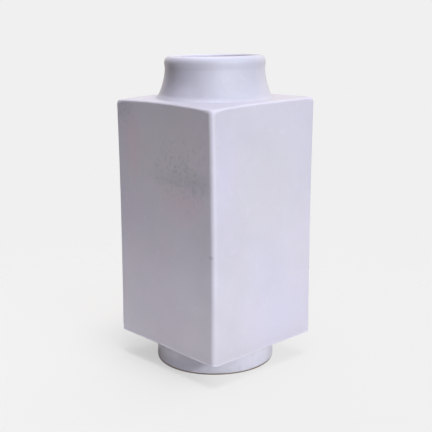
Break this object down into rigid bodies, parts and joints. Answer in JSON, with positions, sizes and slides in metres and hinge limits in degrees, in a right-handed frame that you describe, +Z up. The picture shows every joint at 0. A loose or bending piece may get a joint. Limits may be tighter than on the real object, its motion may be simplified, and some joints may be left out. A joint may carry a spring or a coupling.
{
  "type": "cong vase",
  "caption": "Square glazed ceramic vase with a flat shoulder, a short round neck with a rolled lip and a round foot ring, for holding flowers or for display.",
  "frame": {"origin": "middle of the foot rim, on the surface that the vase stands on", "axes": "+Z up along the axis of neck and foot; X and Y square to the four flat walls, with the front wall facing -Y"},
  "size_m": [0.1264, 0.1264, 0.282],
  "materials": {
    "body_glaze": "satin",
    "neck_glaze": "satin",
    "foot_glaze": "satin",
    "inside_glaze": "matte"
  },
  "bodies": {
    "root": {"foot_ring": "foot_glaze", "floor_slab": "body_glaze", "wall_front": "body_glaze", "wall_right": "body_glaze", "wall_back": "body_glaze", "wall_left": "body_glaze", "corner_coil_front_left": "inside_glaze", "corner_coil_front_right": "inside_glaze", "corner_coil_back_right": "inside_glaze", "corner_coil_back_left": "inside_glaze", "floor_coil": "inside_glaze", "shoulder_slab": "body_glaze", "neck": "neck_glaze"}
  },
  "joints": []
}
